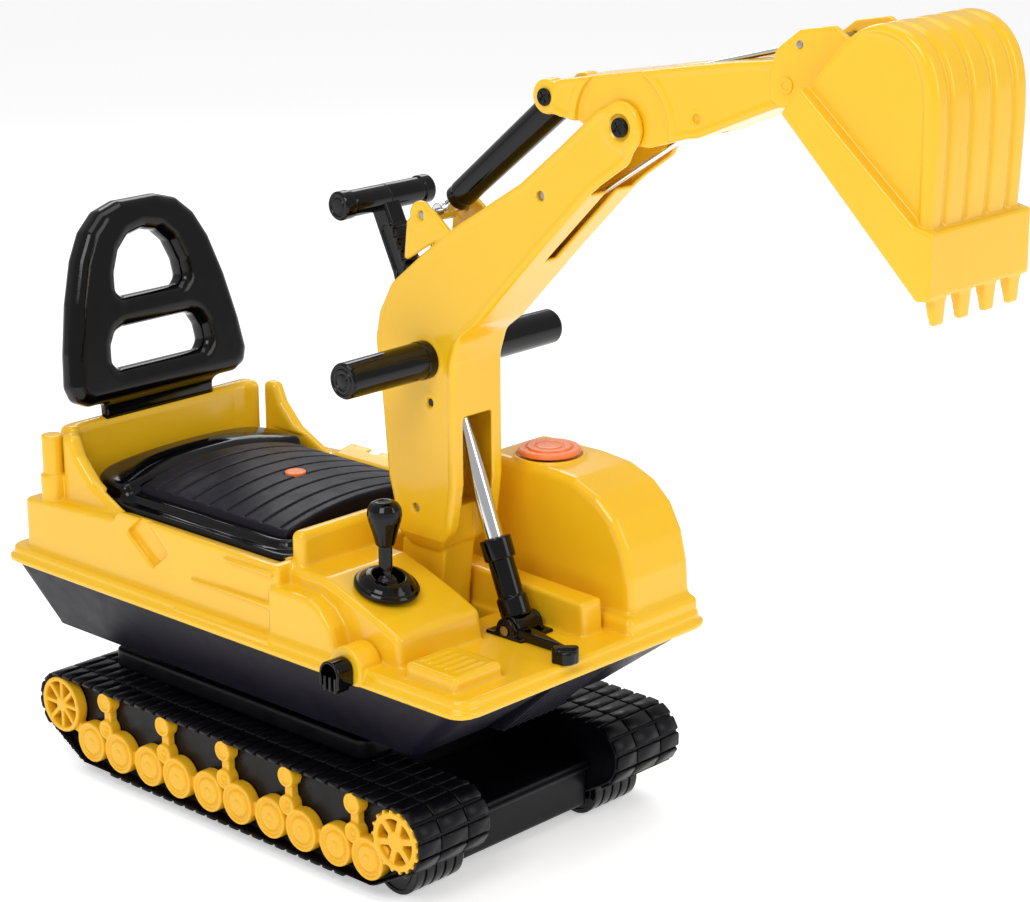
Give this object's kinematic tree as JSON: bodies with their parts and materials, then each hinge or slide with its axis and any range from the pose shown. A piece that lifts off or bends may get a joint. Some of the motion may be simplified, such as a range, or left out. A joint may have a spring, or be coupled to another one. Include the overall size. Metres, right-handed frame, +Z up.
{
  "type": "toy excavator",
  "caption": "Ride-on toy excavator with tracks on floor rollers, a turning seat and deck, a hinged boom, stick and scoop bucket, grips and a control lever.",
  "frame": {"origin": "on the floor below the slew axis, midway between the front and rear rollers and between the tracks", "axes": "+X to the front, where the bucket is; +Y to the left; +Z up"},
  "size_m": [0.899, 0.315, 0.704],
  "materials": {
    "yellow": "smooth gloss, blow moulded",
    "black": "gloss",
    "satin": "satin",
    "orange": "gloss",
    "chrome": "polished",
    "steel": "plain"
  },
  "bodies": {
    "undercarriage": {"track_right": "satin", "track_left": "satin", "cross_frame": "satin", "track_trim_right": "yellow", "track_trim_left": "yellow", "roller_axles": "steel", "turntable_ring": "satin"},
    "roller_front_right": {"roller_front_right": "satin"},
    "roller_front_left": {"roller_front_left": "satin"},
    "roller_rear_right": {"roller_rear_right": "satin"},
    "roller_rear_left": {"roller_rear_left": "satin"},
    "house": {"tub": "satin", "deck": "yellow", "deck_screws": "steel", "seat": "black", "seat_cap": "orange", "backrest": "black", "gear_lever_base": "black", "side_clip": "black", "cylinder_bracket": "black", "bracket_pin": "steel", "boom_pivot": "steel", "slew_bolt": "steel", "slew_nut": "steel", "horn_spring": "steel"},
    "horn_button": {"horn_button": "orange"},
    "gear_lever": {"gear_lever_stem": "black", "gear_lever_knob": "black"},
    "boom": {"boom_shell_right": "yellow", "boom_shell_left": "yellow", "boom_screws": "steel", "cross_bar": "steel", "grip_right": "black", "grip_left": "black", "elbow_pin": "steel", "ear_pin": "steel", "lift_rod_pin": "steel"},
    "lift_barrel": {"lift_barrel": "black", "lift_collar": "black"},
    "lift_rod": {"lift_rod": "chrome"},
    "control_lever": {"control_lever": "black", "control_lever_pin": "steel"},
    "stick": {"stick_shell_right": "yellow", "stick_shell_left": "yellow", "stick_rear_pin": "steel", "drive_rod_pin": "steel"},
    "drive_rod": {"drive_rod": "chrome"},
    "stick_cylinder_tube": {"stick_cylinder_tube": "black"},
    "stick_cylinder_rod": {"stick_cylinder_rod": "steel"},
    "bucket": {"bucket": "yellow", "bucket_pin": "steel", "bucket_rod_pin": "steel"},
    "bucket_rod": {"bucket_rod": "chrome"}
  },
  "joints": [
    {"name": "slew", "type": "hinge", "parent": "undercarriage", "child": "house", "pos_m": [0, 0, 0.108], "axis": [0, 0, 1], "continuous": true},
    {"name": "roll_front_right", "type": "hinge", "parent": "undercarriage", "child": "roller_front_right", "pos_m": [0.184, -0.1035, 0.024], "axis": [0, 1, 0], "continuous": true},
    {"name": "roll_front_left", "type": "hinge", "parent": "undercarriage", "child": "roller_front_left", "pos_m": [0.184, 0.1035, 0.024], "axis": [0, 1, 0], "continuous": true},
    {"name": "roll_rear_right", "type": "hinge", "parent": "undercarriage", "child": "roller_rear_right", "pos_m": [-0.184, -0.1035, 0.024], "axis": [0, 1, 0], "continuous": true},
    {"name": "roll_rear_left", "type": "hinge", "parent": "undercarriage", "child": "roller_rear_left", "pos_m": [-0.184, 0.1035, 0.024], "axis": [0, 1, 0], "continuous": true},
    {"name": "horn_press", "type": "slide", "parent": "house", "child": "horn_button", "axis": [0, 0, -1], "range_m": [0, 0.003], "stiffness_N_per_m": 500, "deforming": ["horn_spring"]},
    {"name": "gear_shift", "type": "hinge", "parent": "house", "child": "gear_lever", "pos_m": [0.133, -0.085, 0.228], "axis": [0, 1, 0], "range_deg": [-12, 12]},
    {"name": "boom_lift", "type": "hinge", "parent": "house", "child": "boom", "pos_m": [0.1, 0, 0.19], "axis": [0, 1, 0], "range_deg": [-4, 20]},
    {"name": "lift_barrel_swing", "type": "hinge", "parent": "house", "child": "lift_barrel", "pos_m": [0.1955, 0, 0.19], "axis": [0, 1, 0], "range_deg": [-3.73, 17.47]},
    {"name": "lift_rod_swing", "type": "hinge", "parent": "boom", "child": "lift_rod", "pos_m": [0.126, 0, 0.365], "axis": [0, 1, 0], "range_deg": [-3.13, 0.87]},
    {"name": "stick_fold", "type": "hinge", "parent": "boom", "child": "stick", "pos_m": [0.322, 0, 0.605], "axis": [0, 1, 0], "range_deg": [-5, 30]},
    {"name": "control_lever_swing", "type": "hinge", "parent": "boom", "child": "control_lever", "pos_m": [0.1223, 0, 0.3996], "axis": [0, 1, 0], "range_deg": [-21.61, 3.85]},
    {"name": "drive_rod_swing", "type": "hinge", "parent": "stick", "child": "drive_rod", "pos_m": [0.3907, 0, 0.619], "axis": [0, 1, 0], "range_deg": [-21.5, 3.83]},
    {"name": "stick_tube_swing", "type": "hinge", "parent": "stick", "child": "stick_cylinder_tube", "pos_m": [0.2496, 0, 0.619], "axis": [0, 1, 0], "range_deg": [-35.77, 6.21]},
    {"name": "stick_rod_swing", "type": "hinge", "parent": "boom", "child": "stick_cylinder_rod", "pos_m": [0.119, 0, 0.513], "axis": [0, 1, 0], "range_deg": [-5.77, 1.21]},
    {"name": "bucket_curl", "type": "hinge", "parent": "stick", "child": "bucket", "pos_m": [0.474, 0, 0.652], "axis": [0, 1, 0], "range_deg": [-35, 20]},
    {"name": "bucket_rod_swing", "type": "hinge", "parent": "bucket", "child": "bucket_rod", "pos_m": [0.484, 0, 0.68], "axis": [0, 1, 0], "range_deg": [-17, 29.53]}
  ],
  "couplings": [
    {"joint": "lift_barrel_swing", "follows": "boom_lift", "ratio": 0.8586},
    {"joint": "lift_rod_swing", "follows": "boom_lift", "ratio": -0.1414},
    {"joint": "control_lever_swing", "follows": "stick_fold", "ratio": -0.7102},
    {"joint": "drive_rod_swing", "follows": "stick_fold", "ratio": -0.7065},
    {"joint": "stick_tube_swing", "follows": "stick_fold", "ratio": -1.1824},
    {"joint": "stick_rod_swing", "follows": "stick_fold", "ratio": -0.1824},
    {"joint": "bucket_rod_swing", "follows": "bucket_curl", "ratio": -0.8351}
  ]
}
